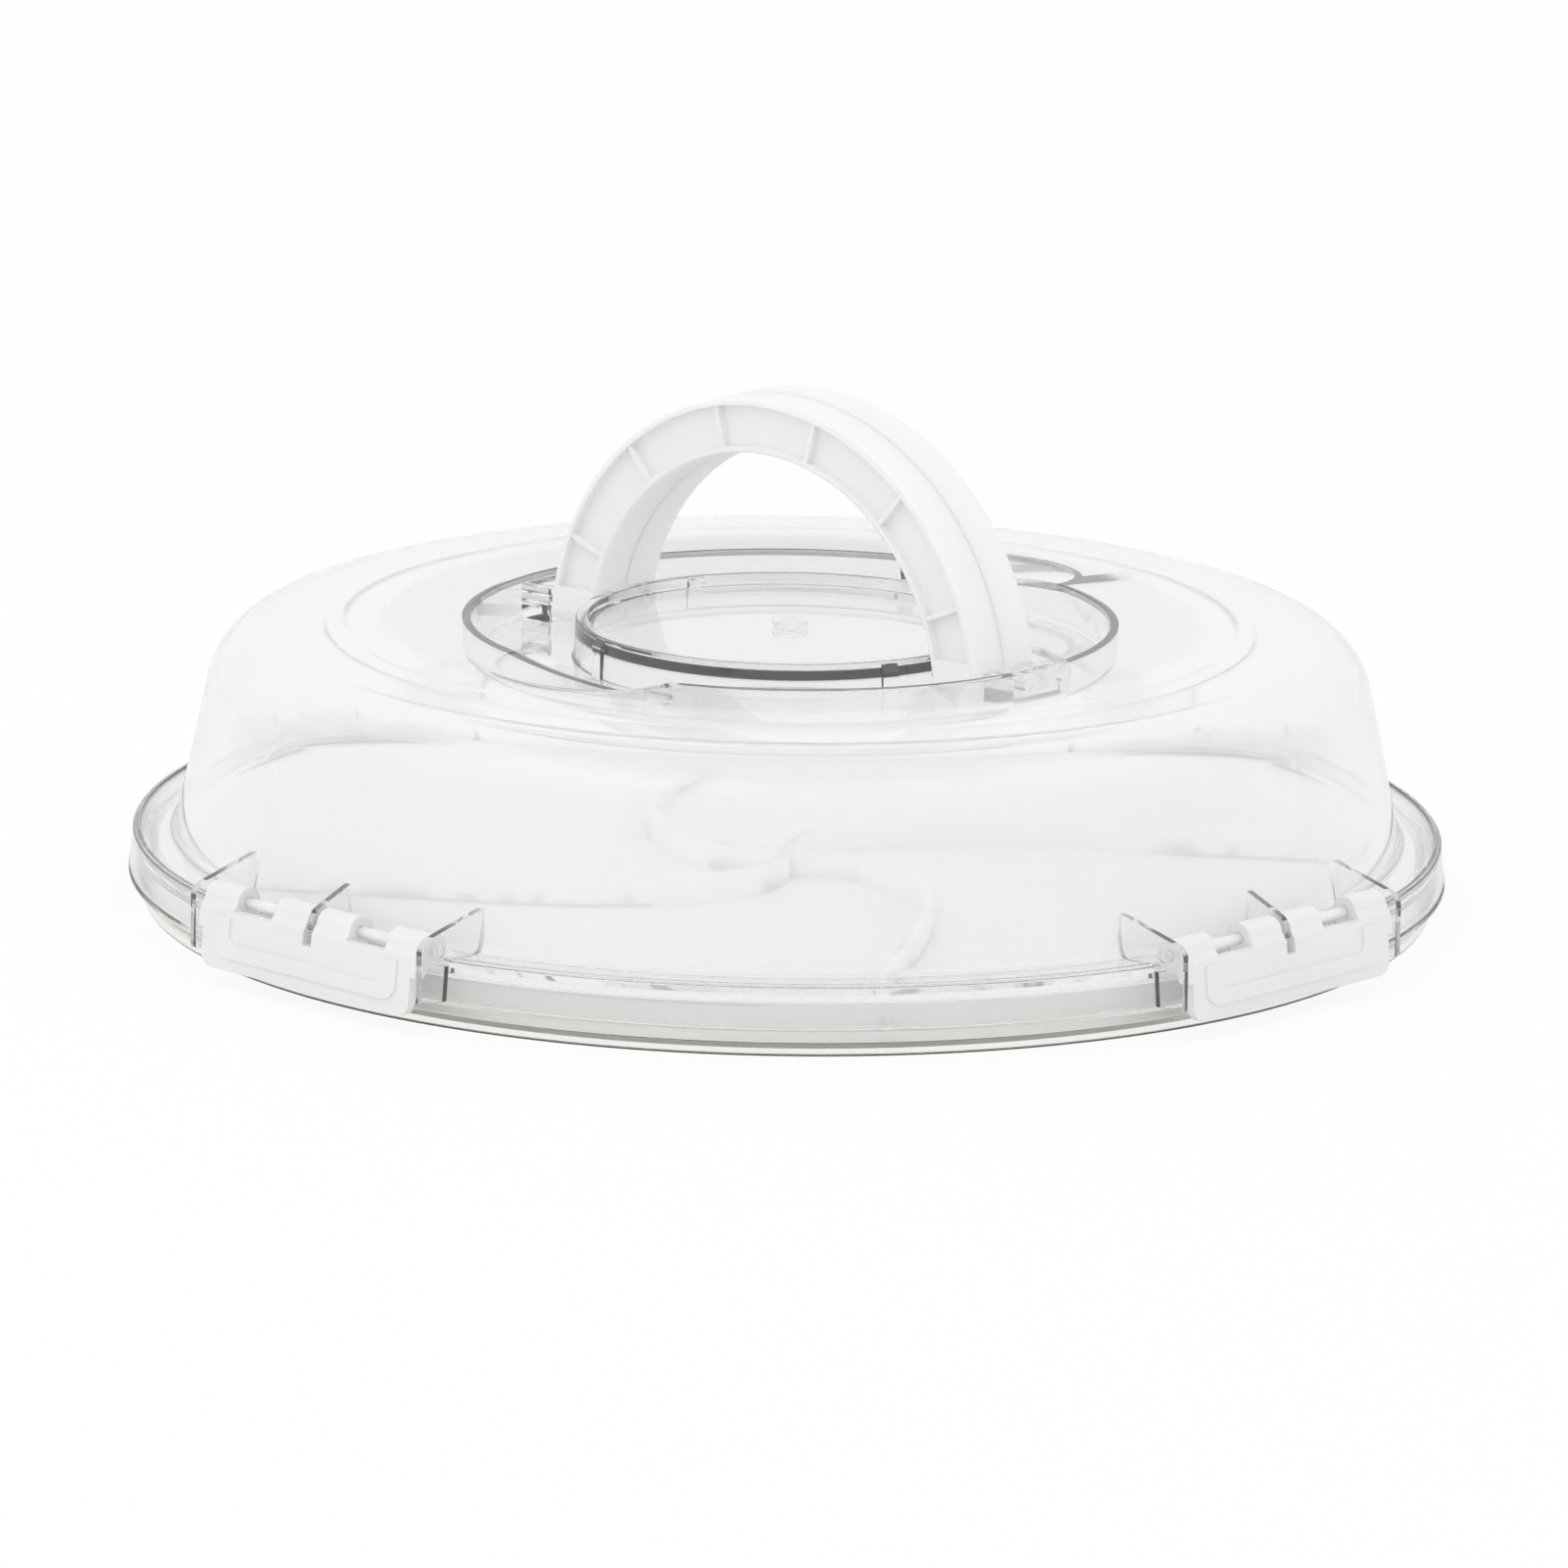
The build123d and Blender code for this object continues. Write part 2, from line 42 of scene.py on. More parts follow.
# Camera fitted to the rim, dome and well of the photograph, in millimetres and degrees
FOCAL_PIXELS = 11540
SENSOR_MM = 36
CAMERA_SIDE = -1.0
CAMERA_BACK = 2775.6
CAMERA_UP = 690.7
CAMERA_FALL = 13.42
CAMERA_ROLL = 0.84
OBJECT_TURN = 1.6

# Measures of the pieces, in millimetres and degrees
WALL = 2.0
TUCK = 0.5
RING_SIDES = 432
ARC_STEP = 12
RIM_R = 165.0
RIM_Z = 17.8
SKIRT_R = RIM_R + 0.8
SKIRT_Z = 8.0
BEAD_R = RIM_R - 1.3
BEAD_Z = RIM_Z + 0.75
DOME_FOOT_R = RIM_R - 10.6
DOME_LEAN = 0.2146
SHOULDER_Z = RIM_Z + 51.9
SHOULDER_ROUND = 17.5
STEP_R = 115.0
STEP_FALL = 1.2
STEP_ROUND = 5.0
TOP_Z = SHOULDER_Z + 2.0
WELL_R = 80.5
WELL_Z = TOP_Z - 10.5
ISLAND_R = 54.0
DISH_R = ISLAND_R - 3.0
DISH_Z = TOP_Z - 2.5
HANDLE_ANGLE = -41
PIVOT_OFFSET = 7.2
PIVOT_Z = TOP_Z - 12.5 + PIVOT_OFFSET
PIN_HOLE_R = 1.52
PIN_HOLE_START = 52.3
PIN_HOLE_END = 84.5
SEAM_HALF = 0.13
NUB_R = 4.5
NUB_HEIGHT = 2.0
NUB_RECESS_R = 3.0
BLOCK_START = 70.2
BLOCK_HALF = 11.0
CLIP_ANGLES = (-23.5, 68.5)
CLIP_START = 52.5
CLIP_END = 55.3
CLIP_HALF = 2.2
SCOOP_R = 78.0
SCOOP_TILT = 5
SCOOP_WIDTH = 20.5
SCOOP_LENGTH = 25.0
SCOOP_HEIGHT = 14.5
SCOOP_DROP = 2.4
LIP_R = SKIRT_R + 0.3
LIP_Z = 7.8
BASE_WALL_R = RIM_R - WALL - 0.4
BASE_RIM_Z = RIM_Z - 4.2
FOOT_RING_R = BASE_WALL_R - 13.6
ROD_R = RIM_R - 1.9
ROD_Z = RIM_Z + 2.8
ROD_RADIUS = 1.4
ROD_HOLE_R = 1.42
ROD_HALF = 41.0
ROD_END = 40.0
EAR_OFFSET = 39.2
EAR_THICK = 1.8
EAR_PEAK_Z = RIM_Z + 11.1
EAR_CORNER_R = RIM_R + 4.3
EAR_CORNER_Z = RIM_Z + 5.8
EAR_ROOT_Z = RIM_Z - 0.8
HUB_R = 4.5
HUB_STEPS = 24
POCKET_X = ROD_R - 4.7
POCKET_Z = ROD_Z - 4.3
POCKET_HALF = 38.3
POCKET_FLOOR_HALF = 39.5

LATCHES = {"front_left": -135, "front_right": -45, "rear_left": 135, "rear_right": 45}
HALVES = ("front", "rear")


# Materials


def grey(level):
    return (level, level, level, 1)


def new_material(name):
    """An empty node material with its output; returns material, nodes and links."""
    material = bpy.data.materials.new(name)
    material.use_nodes = True
    nodes = material.node_tree.nodes
    nodes.clear()
    return material, nodes, material.node_tree.links


def noise_on_object(nodes, links, scale, detail):
    """Noise that stays fixed to the piece."""
    place = nodes.new("ShaderNodeTexCoord")
    noise = nodes.new("ShaderNodeTexNoise")
    noise.inputs["Scale"].default_value = scale
    noise.inputs["Detail"].default_value = detail
    links.new(place.outputs["Object"], noise.inputs["Vector"])
    return noise.outputs["Fac"]


def between(nodes, links, source, low, high):
    """Spread a 0 to 1 value over a range."""
    spread = nodes.new("ShaderNodeMapRange")
    spread.inputs["From Min"].default_value = 0.3
    spread.inputs["From Max"].default_value = 0.7
    spread.inputs["To Min"].default_value = low
    spread.inputs["To Max"].default_value = high
    links.new(source, spread.inputs["Value"])
    return spread.outputs["Result"]


def bump_from(nodes, links, source, strength, distance):
    bump = nodes.new("ShaderNodeBump")
    bump.inputs["Strength"].default_value = strength
    bump.inputs["Distance"].default_value = distance
    links.new(source, bump.inputs["Height"])
    return bump.outputs["Normal"]


def mixed(nodes, links, share, first, second):
    """One shader laid over another by a share."""
    mix = nodes.new("ShaderNodeMixShader")
    links.new(share, mix.inputs[0])
    links.new(first.outputs[0], mix.inputs[1])
    links.new(second.outputs[0], mix.inputs[2])
    return mix


def haze_by_distance(nodes, links, start, end, clearest, haziest):
    """Transmission that drops between two distances from the upright axis, in millimetres."""
    place = nodes.new("ShaderNodeTexCoord")
    level = nodes.new("ShaderNodeVectorMath")
    level.operation = "MULTIPLY"
    level.inputs[1].default_value = (1, 1, 0)
    links.new(place.outputs["Object"], level.inputs[0])
    distance = nodes.new("ShaderNodeVectorMath")
    distance.operation = "LENGTH"
    links.new(level.outputs["Vector"], distance.inputs[0])
    ramp = nodes.new("ShaderNodeValToRGB")
    ramp.color_ramp.elements[0].position = (start - 2) / RIM_R
    ramp.color_ramp.elements[1].position = (start + 2) / RIM_R
    for element, value in zip(ramp.color_ramp.elements, (clearest, haziest)):
        element.color = grey(value)
    for position, value in (((end - 1) / RIM_R, haziest), ((end + 1) / RIM_R, clearest)):
        element = ramp.color_ramp.elements.new(position)
        element.color = grey(value)
    share = nodes.new("ShaderNodeMath")
    share.operation = "DIVIDE"
    share.inputs[1].default_value = RIM_R * MM
    links.new(distance.outputs["Value"], share.inputs[0])
    links.new(share.outputs[0], ramp.inputs["Fac"])
    return ramp.outputs["Color"]


def clear_plastic(name, tint, smoothest, roughest, clearness=1.0, hazy=None, depth_tint=None):
    """Polished clear plastic that lets lamps through, hazy between two distances where given."""
    material, nodes, links = new_material(name)
    output = nodes.new("ShaderNodeOutputMaterial")
    plastic = nodes.new("ShaderNodeBsdfPrincipled")
    plastic.inputs["Base Color"].default_value = (*tint, 1)
    plastic.inputs["Transmission Weight"].default_value = clearness
    plastic.inputs["IOR"].default_value = 1.5
    if hazy:
        haze = haze_by_distance(nodes, links, *hazy)
        links.new(haze, plastic.inputs["Transmission Weight"])
    handling = noise_on_object(nodes, links, 14, 3)
    links.new(between(nodes, links, handling, smoothest, roughest), plastic.inputs["Roughness"])
    flow = noise_on_object(nodes, links, 22, 1)
    links.new(bump_from(nodes, links, flow, 0.01, 0.0005), plastic.inputs["Normal"])
    light_path = nodes.new("ShaderNodeLightPath")
    light_way = nodes.new("ShaderNodeBsdfTransparent")
    light_way.inputs["Color"].default_value = grey(0.97)
    shader = plastic
    for ray in ("Is Diffuse Ray", "Is Shadow Ray"):
        shader = mixed(nodes, links, light_path.outputs[ray], shader, light_way)
    links.new(shader.outputs[0], output.inputs["Surface"])
    if depth_tint:
        inside = nodes.new("ShaderNodeVolumeAbsorption")
        inside.inputs["Color"].default_value = (*depth_tint, 1)
        inside.inputs["Density"].default_value = 12
        links.new(inside.outputs[0], output.inputs["Volume"])
    return material


def white_plastic(name, light, dark, smoothest, roughest, milky):
    """Moulded white plastic, a little see-through, with a faint flow pattern."""
    material, nodes, links = new_material(name)
    output = nodes.new("ShaderNodeOutputMaterial")
    plastic = nodes.new("ShaderNodeBsdfPrincipled")
    plastic.inputs["IOR"].default_value = 1.5
    plastic.inputs["Subsurface Weight"].default_value = milky
    plastic.inputs["Subsurface Radius"].default_value = (1.0, 1.0, 1.0)
    plastic.inputs["Subsurface Scale"].default_value = 0.004
    flow = noise_on_object(nodes, links, 35, 4)
    ramp = nodes.new("ShaderNodeValToRGB")
    ramp.color_ramp.elements[0].position = 0.35
    ramp.color_ramp.elements[0].color = grey(dark)
    ramp.color_ramp.elements[1].position = 0.65
    ramp.color_ramp.elements[1].color = grey(light)
    links.new(flow, ramp.inputs["Fac"])
    links.new(ramp.outputs["Color"], plastic.inputs["Base Color"])
    handling = noise_on_object(nodes, links, 90, 5)
    links.new(between(nodes, links, handling, smoothest, roughest), plastic.inputs["Roughness"])
    grain = noise_on_object(nodes, links, 1400, 2)
    links.new(bump_from(nodes, links, grain, 0.12, 0.0001), plastic.inputs["Normal"])
    links.new(plastic.outputs[0], output.inputs["Surface"])
    return material


# Tools for the modelled pieces


def rounded(outline):
    """Outline points with an arc at each corner that is given a rounding."""
    points = []
    for index, corner in enumerate(outline):
        here = Vector(corner[:2])
        if len(corner) == 2:
            points.append(here)
            continue
        back = (Vector(outline[index - 1][:2]) - here).normalized()
        on = (Vector(outline[index + 1][:2]) - here).normalized()
        half = back.angle(on) / 2
        middle = here + (back + on).normalized() * (corner[2] / math.sin(half))
        first = here + back * (corner[2] / math.tan(half)) - middle
        sweep = first.angle_signed(here + on * (corner[2] / math.tan(half)) - middle)
        count = max(3, math.ceil(math.degrees(abs(sweep)) / ARC_STEP))
        for step in range(count + 1):
            points.append(middle + Matrix.Rotation(-sweep * step / count, 2) @ first)
    return points


def draw_line(name, places):
    """A new piece in edit mode, drawn point after point along a line in millimetres."""
    bpy.ops.object.select_all(action="DESELECT")
    bpy.ops.mesh.primitive_plane_add(size=MM, enter_editmode=True)
    bpy.context.object.name = name
    bpy.ops.mesh.select_mode(type="VERT")
    bpy.ops.mesh.merge(type="CENTER")
    bpy.ops.transform.translate(value=Vector(places[0]) * MM)
    for start, end in zip(places, places[1:]):
        step = (Vector(end) - Vector(start)) * MM
        bpy.ops.mesh.extrude_region_move(TRANSFORM_OT_translate={"value": step})
    bpy.ops.mesh.select_all(action="SELECT")


def close_up():
    """Merge the seam and turn all faces outwards."""
    bpy.ops.mesh.select_all(action="SELECT")
    bpy.ops.mesh.remove_doubles(threshold=MERGE_DISTANCE)
    bpy.ops.mesh.normals_make_consistent(inside=False)
    bpy.ops.object.mode_set(mode="OBJECT")
    return bpy.context.object


def turned_piece(name, outline):
    """Outline from axis to axis, spun about the upright axis."""
    draw_line(name, [(radius, 0, height) for radius, height in rounded(outline)])
    bpy.ops.mesh.spin(steps=RING_SIDES, angle=math.tau, center=(0, 0, 0), axis=(0, 0, 1))
    return close_up()


def turned_ring(name, inner, outer, low, high):
    """Ring with a square section."""
    corners = [(inner, 0, low), (outer, 0, low), (outer, 0, high), (inner, 0, high)]
    draw_line(name, corners + corners[:1])
    bpy.ops.mesh.remove_doubles(threshold=MERGE_DISTANCE)
    bpy.ops.mesh.spin(steps=RING_SIDES, angle=math.tau, center=(0, 0, 0), axis=(0, 0, 1))
    return close_up()


def slab_piece(name, outline, start, end):
    """Closed outline of x and z, made solid from y = start to y = end."""
    points = rounded(outline)
    draw_line(name, [(x, start, z) for x, z in points + points[:1]])
    bpy.ops.mesh.remove_doubles(threshold=MERGE_DISTANCE)
    bpy.ops.mesh.edge_face_add()
    bpy.ops.mesh.extrude_region_move(TRANSFORM_OT_translate={"value": (0, (end - start) * MM, 0)})
    return close_up()


def block_piece(name, low, high):
    """Plain block between two corners, for joining on or cutting away."""
    corners = [(low[0], low[2]), (high[0], low[2]), (high[0], high[2]), (low[0], high[2])]
    return slab_piece(name, corners, low[1], high[1])


def round_bar(name, radius, start, end, sides=48):
    """Round bar between two places in millimetres."""
    start, end = Vector(start), Vector(end)
    bpy.ops.object.select_all(action="DESELECT")
    bpy.ops.mesh.primitive_cylinder_add(
        vertices=sides, radius=radius * MM, depth=(end - start).length * MM,
        location=(start + end) / 2 * MM,
        rotation=(end - start).to_track_quat("Z", "Y").to_euler(),
    )
    bar = bpy.context.object
    bar.name = name
    bpy.ops.object.transform_apply(location=True, rotation=True)
    return bar


def only(piece):
    """Select the piece and nothing else."""
    bpy.ops.object.select_all(action="DESELECT")
    piece.select_set(True)
    bpy.context.view_layer.objects.active = piece


def turned_copies(piece, angles):
    """The piece copied to each angle about the upright axis; the first one is used up."""
    copies = []
    for angle in angles:
        only(piece)
        bpy.ops.object.duplicate()
        copy = bpy.context.object
        copy.rotation_euler.z = math.radians(angle)
        bpy.ops.object.transform_apply(rotation=True)
        copies.append(copy)
    bpy.data.objects.remove(piece)
    return copies


def joined(pieces):
    """All the pieces as one."""
    only(pieces[0])
    for piece in pieces:
        piece.select_set(True)
    bpy.ops.object.join()
    return bpy.context.object


def combined(piece, tool, operation):
    """Join the tool on, cut it away or keep what both share; the tool is used up."""
    only(piece)
    change = piece.modifiers.new("change", "BOOLEAN")
    change.operation = operation
    change.solver = "EXACT"
    change.object = tool
    bpy.ops.object.modifier_apply(modifier=change.name)
    bpy.data.objects.remove(tool)
    return piece


def finished(piece, name, body, material, angle):
    """Smooth the rounds, give the material and tell the frame what the piece is."""
    only(piece)
    bpy.ops.object.shade_smooth_by_angle(angle=math.radians(angle))
    even = piece.modifiers.new("even_flats", "WEIGHTED_NORMAL")
    even.keep_sharp = True
    even.weight = 100
    bpy.ops.object.modifier_apply(modifier=even.name)
    piece.name = name + "_moulded"
    piece.data.materials.clear()
    piece.data.materials.append(material)
    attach(piece, body)
    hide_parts(name)


# Cover


def cover_shell():
    """Dome with its rim, bead, step, well and island, outside from the middle and back inside."""
    low_z = RIM_Z - WALL
    step_z = TOP_Z - STEP_FALL
    shoulder_run = DOME_LEAN * (SHOULDER_Z - RIM_Z)
    across = WALL / math.cos(math.atan(DOME_LEAN))
    foot_r = DOME_FOOT_R + DOME_LEAN * WALL - across
    return turned_piece("cover_shell", [
        (0, DISH_Z),
        (DISH_R - 1, DISH_Z, 1.0),
        (DISH_R, TOP_Z, 0.4),
        (ISLAND_R, TOP_Z, 0.4),
        (ISLAND_R + 0.6, WELL_Z, 0.4),
        (WELL_R, WELL_Z, 1.5),
        (WELL_R, TOP_Z, 0.4),
        (STEP_R - 2, step_z, STEP_ROUND),
        (STEP_R + 2.6, SHOULDER_Z, STEP_ROUND),
        (DOME_FOOT_R - shoulder_run, SHOULDER_Z, SHOULDER_ROUND),
        (DOME_FOOT_R, RIM_Z, 2.0),
        (BEAD_R - 0.72, RIM_Z),
        (BEAD_R - 0.6, BEAD_Z, 0.4),
        (BEAD_R + 0.6, BEAD_Z, 0.4),
        (BEAD_R + 0.72, RIM_Z),
        (RIM_R, RIM_Z, 0.5),
        (SKIRT_R, SKIRT_Z),
        (SKIRT_R - WALL, SKIRT_Z),
        (RIM_R - WALL, low_z),
        (foot_r, low_z, 1.0),
        (foot_r - shoulder_run, SHOULDER_Z - WALL, SHOULDER_ROUND - WALL),
        (STEP_R + 1, SHOULDER_Z - WALL, STEP_ROUND),
        (STEP_R - 3.6, step_z - WALL, STEP_ROUND),
        (WELL_R + WALL, TOP_Z - WALL),
        (WELL_R + WALL, WELL_Z - WALL, 3.5),
        (ISLAND_R + 0.6 - WALL, WELL_Z - WALL, 0.4),
        (ISLAND_R - WALL, DISH_Z - WALL, 0.6),
        (0, DISH_Z - WALL),
    ])


def scoop_body(name, grow, drop):
    """Oval beside the well, its floor sloping round the well."""
    bpy.ops.object.select_all(action="DESELECT")
    bpy.ops.mesh.primitive_cylinder_add(vertices=144, radius=MM, depth=MM)
    oval = bpy.context.object
    oval.name = name
    oval.scale = (SCOOP_WIDTH + grow, SCOOP_LENGTH + grow, SCOOP_HEIGHT)
    bpy.ops.object.transform_apply(scale=True)
    oval.location = (0, 0, SCOOP_HEIGHT / 2 * MM)
    bpy.ops.object.transform_apply(location=True)
    oval.rotation_euler.x = math.radians(-SCOOP_TILT)
    oval.location = (SCOOP_R * MM, 0, (TOP_Z - drop) * MM)
    bpy.ops.object.transform_apply(location=True, rotation=True)
    return oval


def scoop_lining():
    """Wall under a scoop, kept inside the dome's own wall at its edges."""
    wrap = turned_ring("lining_bounds", WELL_R + WALL / 2, STEP_R - 4, WELL_Z - WALL, TOP_Z - 1.3)
    return combined(scoop_body("scoop_lining", WALL, SCOOP_DROP + WALL), wrap, "INTERSECT")


def hinge_block():
    """Block in the well that carries the outer ends of two handle pins."""
    low = (BLOCK_START, -BLOCK_HALF, WELL_Z - 1)
    high = (WELL_R + WALL, BLOCK_HALF, PIVOT_Z + 3.5)
    block = block_piece("hinge_block", low, high)
    bpy.ops.object.mode_set(mode="EDIT")
    bpy.ops.mesh.select_mode(type="EDGE")
    bpy.ops.mesh.select_all(action="DESELECT")
    bpy.ops.object.mode_set(mode="OBJECT")
    for edge in block.data.edges:
        ends = [block.data.vertices[index].co for index in edge.vertices]
        upright = abs(ends[0].z - ends[1].z) > MM
        edge.select = upright and ends[0].x < (BLOCK_START + 1) * MM
    bpy.ops.object.mode_set(mode="EDIT")
    bpy.ops.mesh.bevel(offset=MM, segments=5, affect="EDGES")
    bpy.ops.object.mode_set(mode="OBJECT")
    wrap = turned_ring("block_bounds", 60, WELL_R + WALL / 2, WELL_Z - 4, TOP_Z)
    return combined(block, wrap, "INTERSECT")


def island_clip():
    """Upright rib on the island that holds a folded handle half."""
    return slab_piece("island_clip", [
        (CLIP_START, WELL_Z - TUCK),
        (CLIP_END, WELL_Z - TUCK),
        (CLIP_END, TOP_Z - 2.8),
        (ISLAND_R, TOP_Z - 0.7),
        (CLIP_START, TOP_Z - 0.7),
    ], -CLIP_HALF, CLIP_HALF)


def pocket_floor():
    """Thick part of the rim below a latch."""
    wrap = turned_ring("floor_bounds", 140, RIM_R - TUCK, 0, 2 * RIM_Z)
    low = (POCKET_X - 1.4, -POCKET_FLOOR_HALF, POCKET_Z - 1.9)
    high = (RIM_R + WALL, POCKET_FLOOR_HALF, RIM_Z - TUCK)
    return combined(block_piece("pocket_floor", low, high), wrap, "INTERSECT")


def outer_ear(side):
    """Flat ear at one end of a latch, down to the skirt's lower edge."""
    back_x = math.sqrt((DOME_FOOT_R - 1) ** 2 - EAR_OFFSET ** 2)
    skirt_x = math.sqrt((RIM_R - TUCK) ** 2 - EAR_OFFSET ** 2)
    middle = side * EAR_OFFSET
    return slab_piece("outer_ear", [
        (back_x - 0.4, EAR_ROOT_Z),
        (back_x, EAR_PEAK_Z, 0.4),
        (EAR_CORNER_R, EAR_CORNER_Z, 3.5),
        (EAR_CORNER_R, SKIRT_Z, 0.9),
        (skirt_x, SKIRT_Z),
        (skirt_x, EAR_ROOT_Z),
    ], middle - EAR_THICK / 2, middle + EAR_THICK / 2)


def middle_ear():
    """Ear between the inner knuckles, its end a round hub about the rod."""
    peak_x = DOME_FOOT_R + 0.4
    fall = EAR_PEAK_Z - ROD_Z
    reach = math.hypot(ROD_R - peak_x, fall)
    turn = math.atan2(fall, peak_x - ROD_R) - math.acos(HUB_R / reach)
    outline = [(DOME_FOOT_R, EAR_ROOT_Z), (peak_x, EAR_PEAK_Z)]
    for step in range(HUB_STEPS + 1):
        angle = turn - step / HUB_STEPS * (turn + math.pi / 2)
        outline.append((ROD_R + HUB_R * math.cos(angle), ROD_Z + HUB_R * math.sin(angle)))
    outline.append((ROD_R, EAR_ROOT_Z))
    return slab_piece("middle_ear", outline, -EAR_THICK / 2, EAR_THICK / 2)


def latch_ears():
    """Three ears of a latch with the hole for its rod."""
    ears = joined([outer_ear(-1), outer_ear(1), middle_ear()])
    reach = ROD_HALF + WALL
    hole = round_bar("rod_hole", ROD_HOLE_R, (ROD_R, -reach, ROD_Z), (ROD_R, reach, ROD_Z))
    return combined(ears, hole, "DIFFERENCE")


def make_cover(material):
    """Shell with its small parts joined on, its rooms cut out and the ears joined last."""
    both = (HANDLE_ANGLE, HANDLE_ANGLE + 180)
    beside = (HANDLE_ANGLE + 90, HANDLE_ANGLE - 90)
    clips = [angle + clip for angle in both for clip in CLIP_ANGLES]
    added = turned_copies(scoop_lining(), beside) + turned_copies(hinge_block(), both)
    added += turned_copies(island_clip(), clips)
    added += turned_copies(pocket_floor(), LATCHES.values())
    added.append(round_bar("nub", NUB_R, (0, 0, DISH_Z - TUCK), (0, 0, DISH_Z + NUB_HEIGHT), 96))
    cover = combined(cover_shell(), joined(added), "UNION")
    taken = turned_copies(scoop_body("scoop_room", 0, SCOOP_DROP), beside)
    for side in (-1, 1):
        start = (PIN_HOLE_START, side * PIVOT_OFFSET, PIVOT_Z)
        end = (PIN_HOLE_END, side * PIVOT_OFFSET, PIVOT_Z)
        taken += turned_copies(round_bar("pin_hole", PIN_HOLE_R, start, end), both)
    taken.append(round_bar("nub_recess", NUB_RECESS_R, (0, 0, DISH_Z + 0.4), (0, 0, DISH_Z + 4), 72))
    low = (POCKET_X, -POCKET_HALF, POCKET_Z)
    high = (EAR_CORNER_R + WALL, POCKET_HALF, ROD_Z)
    taken += turned_copies(block_piece("pocket", low, high), LATCHES.values())
    cover = combined(cover, joined(taken), "DIFFERENCE")
    ears = joined(turned_copies(latch_ears(), LATCHES.values()))
    cover = combined(cover, ears, "UNION")
    finished(cover, "cover", "cover", material, 30)


# Base tray and rods


def make_base_tray(material):
    lip_fall = LIP_R - BASE_WALL_R
    tray = turned_piece("base_tray_ring", [
        (0, 1),
        (FOOT_RING_R - 1, 1),
        (FOOT_RING_R, 0),
        (BASE_WALL_R, 0, 1.4),
        (BASE_WALL_R, LIP_Z - 0.6 - lip_fall),
        (LIP_R, LIP_Z - 0.6),
        (LIP_R, LIP_Z),
        (BASE_WALL_R, LIP_Z),
        (BASE_WALL_R, BASE_RIM_Z, 0.6),
        (BASE_WALL_R - WALL, BASE_RIM_Z, 0.6),
        (BASE_WALL_R - WALL, 3, 2.0),
        (0, 3),
    ])
    finished(tray, "base_tray", "base", material, 30)


def make_rods(material):
    rod = round_bar("rod", ROD_RADIUS, (ROD_R, -ROD_END, ROD_Z), (ROD_R, ROD_END, ROD_Z))
    for copy, place in zip(turned_copies(rod, LATCHES.values()), LATCHES):
        name = "latch_rod_" + place
        soften_edges(copy, 0.2, 60)
        finished(copy, name, "cover", material, 30)


# Pieces carried over from the frame


def soften_edges(piece, width, angle):
    """Round the edges that turn by more than an angle."""
    only(piece)
    soften = piece.modifiers.new("soft_edges", "BEVEL")
    soften.width = width * MM
    soften.segments = 3
    soften.limit_method = "ANGLE"
    soften.angle_limit = math.radians(angle)
    bpy.ops.object.modifier_apply(modifier=soften.name)


def finish_node(name, material):
    """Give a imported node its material."""
    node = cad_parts[name]
    if not node.material_slots:
        node.data.materials.append(material)
    for holder in node.material_slots:
        holder.material = material


def close_seam(piece, side):
    """Bring the flat back of a handle half nearly up to the other half's back."""
    angle = math.radians(HANDLE_ANGLE)
    across = Vector((-math.sin(angle), math.cos(angle), 0)) * side
    only(piece)
    for vertex in piece.data.vertices:
        vertex.select = vertex.co.dot(across) < 0.3 * MM and vertex.co.z > PIVOT_Z * MM
    bpy.ops.object.mode_set(mode="EDIT")
    bpy.ops.transform.translate(value=across * -SEAM_HALF * MM)
    bpy.ops.object.mode_set(mode="OBJECT")


def smooth_copy(name, body, slot, material, angle, edge):
    """A joined-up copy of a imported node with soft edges, standing for it."""
    piece = bpy.data.objects.new(name + "_copy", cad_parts[name].data.copy())
    bpy.context.scene.collection.objects.link(piece)
    only(piece)
    bpy.ops.object.mode_set(mode="EDIT")
    bpy.ops.mesh.select_all(action="SELECT")
    bpy.ops.mesh.remove_doubles(threshold=MERGE_DISTANCE)
    bpy.ops.object.mode_set(mode="OBJECT")
    if edge:
        soften_edges(piece, edge, 40)
    if slot == "white_handle":
        close_seam(piece, 1 if name == "handle_rear" else -1)
    finished(piece, name, body, material, angle)


def dress_pieces():
    hazy_wall = (WELL_R + 22, DOME_FOOT_R + 0.5, 0.97, 0.72)
    clear_cover = clear_plastic("clear_cover", (0.945, 0.948, 0.948), 0.0, 0.03, hazy=hazy_wall)
    clear_base = clear_plastic("clear_base", (0.96, 0.955, 0.94), 0.01, 0.05, depth_tint=(1, 0.93, 0.82))
    clear_rod = clear_plastic("clear_rod", (0.95, 0.95, 0.95), 0.15, 0.3, clearness=0.4)
    white_latch = white_plastic("white_latch", 0.83, 0.81, 0.28, 0.42, 0.1)
    white_handle = white_plastic("white_handle", 0.89, 0.875, 0.35, 0.5, 0.3)
    white_insert = white_plastic("white_insert", 0.95, 0.93, 0.3, 0.45, 0.3)
    white_pin = white_plastic("white_pin", 0.8, 0.76, 0.4, 0.5, 0.1)

    make_cover(clear_cover)
    make_base_tray(clear_base)
    make_rods(clear_rod)
    smooth_copy("divided_insert", "insert", "white_insert", white_insert, 30, 0)
    for place in LATCHES:
        smooth_copy("latch_" + place, "latch_" + place, "white_latch", white_latch, 35, 0.5)
    for half in HALVES:
        smooth_copy("handle_" + half, "handle_" + half, "white_handle", white_handle, 35, 0.4)
        for side in ("left", "right"):
            finish_node("handle_pin_" + half + "_" + side, white_pin)


# Studio


